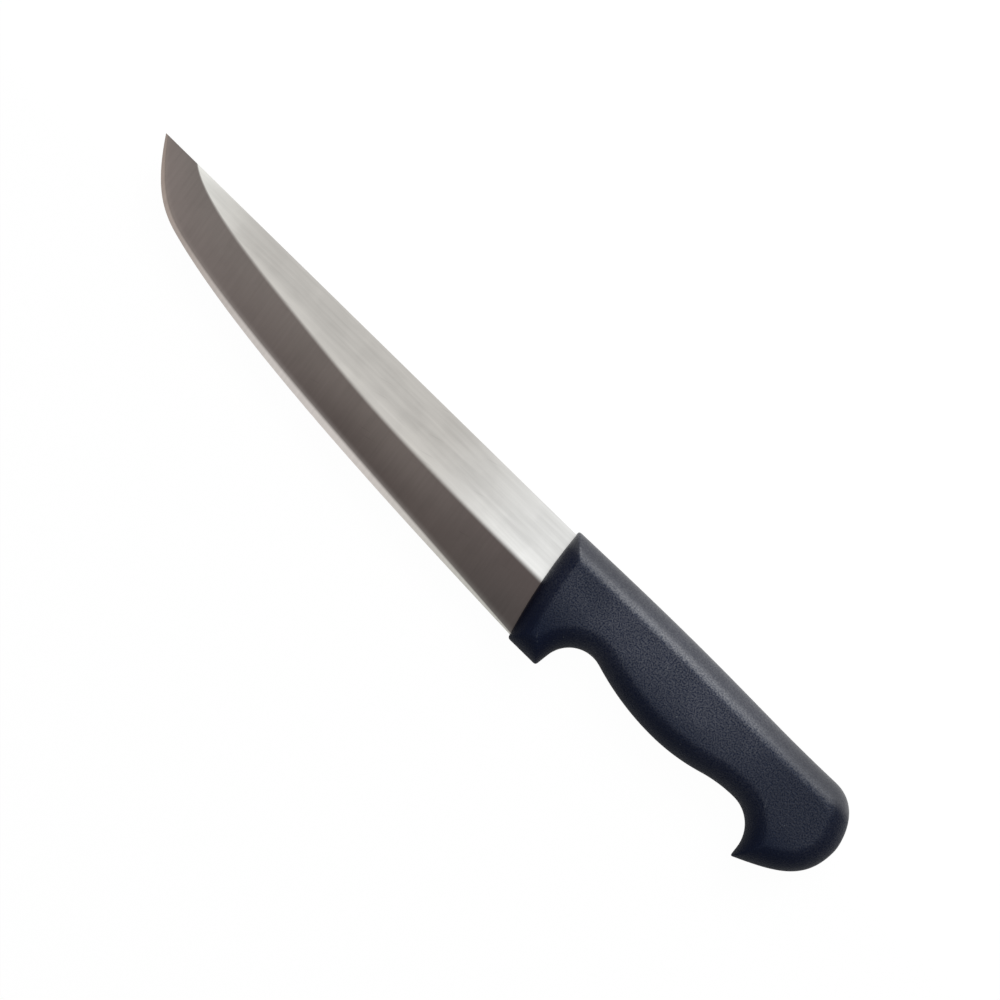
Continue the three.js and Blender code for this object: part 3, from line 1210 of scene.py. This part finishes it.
@dataclass
class Handle:
    """The moulded handle: a flat panel on each side and a rounded rim that meets it at a soft crease."""

    datum: Datum
    spine_rise: float = 1.4 * MM
    crown_angle: float = 1.4
    crown_pull: float = 75.0 * MM
    sag_angle: float = 1.2
    sag_pull: float = 37.0 * MM
    front_bow: float = 1.2 * MM
    guard_length: float = 12.6 * MM
    guard_lean: float = 0.55 * MM
    neck_depth: float = 25.1 * MM
    belly_place: float = 64.7 * MM
    belly_swell: float = 5.0 * MM
    front_scoop: float = 11.4 * MM
    rear_drop: float = 0.35 * MM
    rear_ease: float = 49.0 * MM
    rear_scoop: float = 12.6 * MM
    hook_length: float = 23.6 * MM
    hook_lean: float = 0.3 * MM
    hook_rise: float = 24.0
    hook_pull: float = 16.2 * MM
    butt_reach: float = 0.35 * MM
    butt_depth: float = 15.2 * MM
    butt_pull: float = 14.0 * MM
    butt_round: float = 15.2 * MM
    round_start: float = 3.0 * MM
    round_end: float = 12.5 * MM
    front_inset: float = 6.4 * MM
    sole_inset: float = 7.2 * MM
    grip_inset: float = 7.2 * MM
    back_inset: float = 7.5 * MM
    parting_band: float = 1.5 * MM
    crease_angle: float = 16.0
    outline_step: float = 0.8 * MM
    rim_steps: int = 14
    overcut: float = 2.0 * MM
    voxel: float = 0.42 * MM
    easing_passes: int = 8
    easing_share: float = 0.5
    parting_ridge: float = 0.08 * MM
    tang_room: float = 0.02 * MM
    shading_angle: float = 35.0

    def front(self) -> list[Vector]:
        """The front line.

        Returns:
            Its points, from the spine down to the guard's toe.
        """
        top = Vector((0.0, self.spine_rise))
        toe = Vector((self.datum.front_lean, -self.datum.sole_depth))
        return bowed(top, toe, self.front_bow)

    def sole(self) -> list[Vector]:
        """The sole of the guard."""
        toe = Vector((self.datum.front_lean, -self.datum.sole_depth))
        return [toe, toe + Vector((self.guard_length, 0.0))]

    def back(self) -> list[Vector]:
        """The hook's sole, the butt and the top line.

        Returns:
            Their points, from the hook's tip round to the front.
        """
        end = self.datum.handle_length
        hook_tip = Vector((end - self.hook_length + self.hook_lean, -self.datum.sole_depth))
        butt = Vector((end + self.butt_reach, -self.butt_depth))
        shoulder = Vector((end - self.butt_round, self.spine_rise))
        front = Vector((0.0, self.spine_rise))
        sole = fair_curve(hook_tip, -self.hook_rise, self.hook_pull, butt, -90.0, self.butt_pull)
        turn = fair_curve(butt, -90.0, self.round_start, shoulder, -180.0 - self.sag_angle, self.round_end)
        top = fair_curve(shoulder, -180.0 - self.sag_angle, self.sag_pull,
                         front, -180.0 - self.crown_angle, self.crown_pull)
        return [*sole, *turn[1:], *top[1:]]

    def grip(self) -> list[Vector]:
        """The finger grip: a scoop behind the guard, the belly and a scoop ahead of the hook.

        Returns:
            Its points, from the guard's sole to the hook's tip.
        """
        start = self.sole()[-1]
        hook_tip = self.back()[0]
        wall = self.datum.handle_length - self.hook_length
        front = Vector((start.x + self.guard_lean + self.front_scoop, -self.neck_depth - self.front_scoop))
        rear_top = Vector((wall - self.rear_scoop, -self.neck_depth - self.rear_drop))
        rear = rear_top - Vector((0.0, self.rear_scoop))
        ease = rear_top - Vector((0.0, self.rear_ease))
        crest = Vector((self.belly_place, -self.neck_depth - self.belly_swell))

        def belly_radius(scoop: Vector, scoop_radius: float) -> float:
            """The belly's radius between its crest and a scoop that it runs into."""
            run, swell = scoop.x - crest.x, scoop.y + scoop_radius - crest.y
            return (run**2 + swell**2) / (2 * swell) - scoop_radius

        def heading(way: Vector) -> float:
            """The angle of a step, in degrees."""
            return math.degrees(math.atan2(way.y, way.x))

        fore_radius = belly_radius(front, self.front_scoop)
        aft_radius = belly_radius(ease, self.rear_ease)
        fore = crest + Vector((0.0, fore_radius))
        aft = crest + Vector((0.0, aft_radius))
        front_touch = heading(fore - front)
        ease_touch = heading(aft - ease)
        to_tip = hook_tip - rear
        wall_touch = heading(to_tip) + math.degrees(math.acos(self.rear_scoop / to_tip.length))
        to_guard = start - front
        guard_touch = heading(to_guard) % 360.0 - math.degrees(math.acos(self.front_scoop / to_guard.length))
        return [
            start,
            *arc(front, self.front_scoop, guard_touch, front_touch),
            *arc(fore, fore_radius, front_touch + 180.0, 270.0)[1:],
            *arc(aft, aft_radius, 270.0, ease_touch + 180.0)[1:],
            *arc(ease, self.rear_ease, ease_touch, 90.0)[1:],
            *arc(rear, self.rear_scoop, 90.0, wall_touch)[1:],
            hook_tip,
        ]

    def stretches(self) -> list[list[Vector]]:
        """The outline, in four stretches between its sharp corners.

        Returns:
            Each stretch's points, evenly spaced and anticlockwise.
        """
        drawn = (self.front(), self.sole(), self.grip(), self.back())
        stretches = []
        for points in drawn:
            reach = sum((end - start).length for start, end in zip(points, points[1:]))
            stretches.append(evenly(points, math.ceil(reach / self.outline_step)))
        return stretches

    def rim_profile(self, inset: float) -> list[Point]:
        """What the rim's rounding takes away.

        Args:
            inset: How far inside the outline the flat panel starts.

        Returns:
            Places inwards from the outline, and up from the middle plane.
        """
        band = self.parting_band / 2
        top = self.datum.handle_thickness / 2
        turn = 90.0 - self.crease_angle
        width = inset / (1 - math.cos(math.radians(turn)))
        height = (top - band) / math.sin(math.radians(turn))
        run = inset + self.overcut
        rise = top + self.overcut * math.tan(math.radians(self.crease_angle))
        ceiling = top + 2 * self.overcut
        rounding = []
        for step in range(self.rim_steps + 1):
            angle = math.radians(turn * step / self.rim_steps)
            rounding.append((width * (1 - math.cos(angle)), band + height * math.sin(angle)))
        return [(-self.overcut, band), *rounding, (run, rise), (run, ceiling), (-self.overcut, ceiling)]

    def rim_cutter(self, stretch: Sequence[Vector], inset: float, side: int) -> Piece:
        """One stretch's rounding as a body, run past both of its corners.

        Args:
            stretch: The outline's points along the stretch.
            inset: How far inside the outline the flat panel starts.
            side: 1 for the upper side, -1 for the lower one.

        Returns:
            The cutter, about the drawing's zero.
        """
        first = stretch[0] + (stretch[0] - stretch[1]).normalized() * self.overcut
        last = stretch[-1] + (stretch[-1] - stretch[-2]).normalized() * self.overcut
        path = [first, *stretch, last]
        lefts = []
        for index in range(len(path)):
            way = path[min(index + 1, len(path) - 1)] - path[max(index - 1, 0)]
            lefts.append(Vector((-way.y, way.x)).normalized())
        lines = []
        for inwards, height in self.rim_profile(inset):
            feet = [place + left * inwards for place, left in zip(path, lefts)]
            lines.append([Vector((foot.x, foot.y, side * height)) for foot in feet])
        return loft("rim_cutter", lines)

    def blank(self) -> Piece:
        """The handle's outline as a block of its full thickness.

        Returns:
            The closed block, about the drawing's zero.
        """
        half = self.datum.handle_thickness / 2
        outline = [place for stretch in self.stretches() for place in stretch[:-1]]
        block = draw_line([Vector((place.x, place.y, -half)) for place in outline], closed=True)
        with editing(block, Element.EDGES):
            bpy.ops.mesh.select_all(action="SELECT")
            bpy.ops.mesh.edge_face_add()
            bpy.ops.mesh.extrude_region_move(TRANSFORM_OT_translate={"value": (0, 0, 2 * half)})
            bpy.ops.mesh.select_all(action="SELECT")
            bpy.ops.mesh.normals_make_consistent(inside=False)
        block.name = "moulded_handle"
        return block

    def build(self, blade: Blade) -> Piece:
        """Models the handle round the blade's tang and sets it in its place.

        Args:
            blade: The blade that the handle is moulded on.

        Returns:
            The finished handle.
        """
        grip = self.blank()
        insets = (self.front_inset, self.sole_inset, self.grip_inset, self.back_inset)
        for stretch, inset in zip(self.stretches(), insets):
            for side in (1, -1):
                combine(grip, self.rim_cutter(stretch, inset, side), Cut.AWAY)
        finish_with(grip, "REMESH", mode="VOXEL", voxel_size=self.voxel)
        finish_with(grip, "SMOOTH", factor=self.easing_share, iterations=self.easing_passes)
        with editing(grip):
            bpy.ops.mesh.select_all(action="SELECT")
            bpy.ops.mesh.bisect(plane_co=(0, 0, 0), plane_no=(0, 0, 1))
            bpy.ops.transform.shrink_fatten(value=self.parting_ridge)
        combine(grip, blade.body("cavity", self.tang_room), Cut.AWAY)
        alone(grip)
        bpy.ops.object.shade_smooth_by_angle(angle=math.radians(self.shading_angle))
        self.datum.settle(grip)
        return grip

    def dress(self, grip: Piece, effects: Effects) -> None:
        """Gives the handle its finish."""
        place_in_frame(grip, PlasticFinish().material(self.datum, effects), "handle")


@dataclass
class Studio:
    """The white table, the soft light from the spine's side and the camera straight above."""

    datum: Datum
    view_centre: Point = (-26.06 * MM, -9.46 * MM)
    view_turn: float = 44.4
    view_width: float = 331.0 * MM
    view_height: float = 2.2
    sensor: float = 36.0
    table_size: float = 40.0
    table_gap: float = 0.1 * MM
    sky_dark: float = 0.09
    mirror_level: float = 0.3
    overhead_rim: float = 0.78
    overhead_full: float = 0.92
    side_from: float = 0.15
    side_to: float = 0.6
    side_level: float = 0.6
    side_full: float = 0.4
    side_reach: float = 0.8
    key_reach: float = 0.9
    key_angle: float = 47.0
    key_place: float = 58.0 * MM
    key_width: float = 0.8
    key_height: float = 0.45
    key_power: float = 3.0

    def table(self) -> None:
        """Lays the table under the knife."""
        bpy.ops.object.select_all(action="DESELECT")
        bpy.ops.mesh.primitive_plane_add(size=self.table_size, location=(0, 0, -self.table_gap))
        top = bpy.context.object
        bpy.ops.object.transform_apply(location=True, rotation=False, scale=False)
        top.name = "table"
        top.data.materials.append(TableFinish().material())

    def sky(self) -> None:
        """A soft light overhead and another on the spine's side, in a room that metal mirrors as pale."""
        world = bpy.data.worlds.new("studio")
        world.use_nodes = True
        bpy.context.scene.world = world
        graph = Graph(world.node_tree)
        way = graph.node("ShaderNodeSeparateXYZ")
        graph.feed(way.inputs[0], graph.node("ShaderNodeTexCoord").outputs["Generated"])
        overhead = graph.ramp(way.outputs["Z"], self.overhead_rim, self.overhead_full, self.sky_dark, 1.0)
        side = graph.ramp(way.outputs["Y"], self.side_from, self.side_to, 0.0, self.side_level)
        sideways = graph.math("ABSOLUTE", way.outputs["X"])
        side = graph.times(side, graph.ramp(sideways, self.side_full, self.side_reach, 1.0, 0.0))
        level = graph.most(overhead, side, graph.seen(self.mirror_level))
        light = graph.node("ShaderNodeBackground")
        graph.fill(light, {"Color": WHITE, "Strength": level})
        graph.feed(graph.node("ShaderNodeOutputWorld").inputs["Surface"], light.outputs[0])

    def key(self) -> None:
        """A soft lamp on the spine's side."""
        angle = math.radians(self.key_angle)
        target = Vector((self.datum.zero.x + self.key_place, 0, 0))
        place = target + Vector((0, math.cos(angle), math.sin(angle))) * self.key_reach
        bpy.ops.object.light_add(type="AREA", location=place,
                                 rotation=(target - place).to_track_quat("-Z", "Y").to_euler())
        lamp = bpy.context.object.data
        lamp.shape = "RECTANGLE"
        lamp.size = self.key_width
        lamp.size_y = self.key_height
        lamp.energy = self.key_power

    def camera(self) -> None:
        """Puts the camera straight above, turned as the picture is."""
        x, y = self.view_centre
        place = self.datum.zero + Vector((x, y, self.view_height))
        bpy.ops.object.camera_add(location=place, rotation=(0, 0, math.radians(self.view_turn)))
        camera = bpy.context.object
        camera.data.sensor_width = self.sensor
        camera.data.lens = self.sensor * self.view_height / self.view_width
        bpy.context.scene.camera = camera

    def build(self) -> None:
        """Sets up the whole studio."""
        self.table()
        self.sky()
        self.key()
        self.camera()
        bpy.context.scene.view_settings.view_transform = "Standard"
        log.info("studio: table, sky, key lamp and camera")


def main() -> None:
    """Builds the knife piece by piece, dresses it and sets up the studio."""
    logging.basicConfig(level=logging.INFO, format="%(name)s: %(message)s")
    datum = Datum.from_frame()
    effects = Effects()
    blade = Blade(datum)
    blade.dress(blade.build(), effects)
    handle = Handle(datum)
    handle.dress(handle.build(blade), effects)
    Studio(datum).build()


if __name__ == "__main__":
    main()
